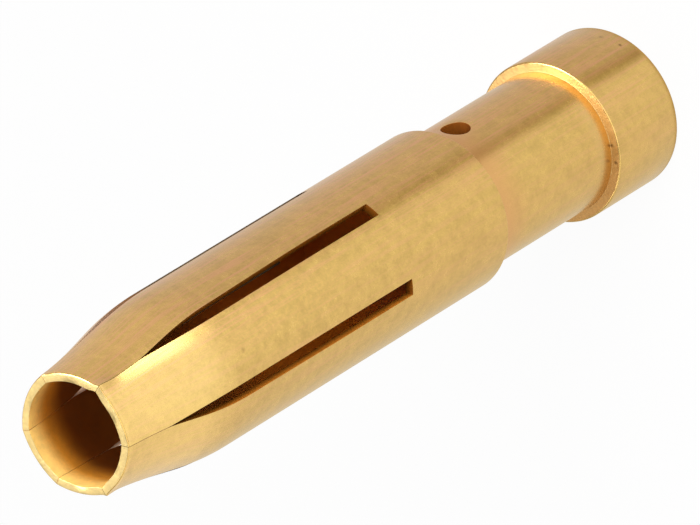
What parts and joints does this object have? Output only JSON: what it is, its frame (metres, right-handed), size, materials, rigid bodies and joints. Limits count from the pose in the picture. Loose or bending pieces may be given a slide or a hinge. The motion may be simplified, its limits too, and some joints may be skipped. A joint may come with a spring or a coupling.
{
  "type": "round crimp socket connector",
  "caption": "Turned, gold-plated crimp socket contact: spring tines closed at the mouth grip a round pin, and the hollow rear barrel with its inspection hole is crimped onto a wire.",
  "frame": {"origin": "centre of the rear face, which the contact stands on", "axes": "+Z along the bore axis from the crimp barrel to the socket's rim, +X through the inspection hole"},
  "size_m": [0.0054, 0.0054, 0.028],
  "materials": {
    "gold_plate": "satin gold plating over turned brass, with fine tool marks and a few specks"
  },
  "bodies": {
    "root": {"socket_contact": "gold_plate"}
  },
  "joints": []
}
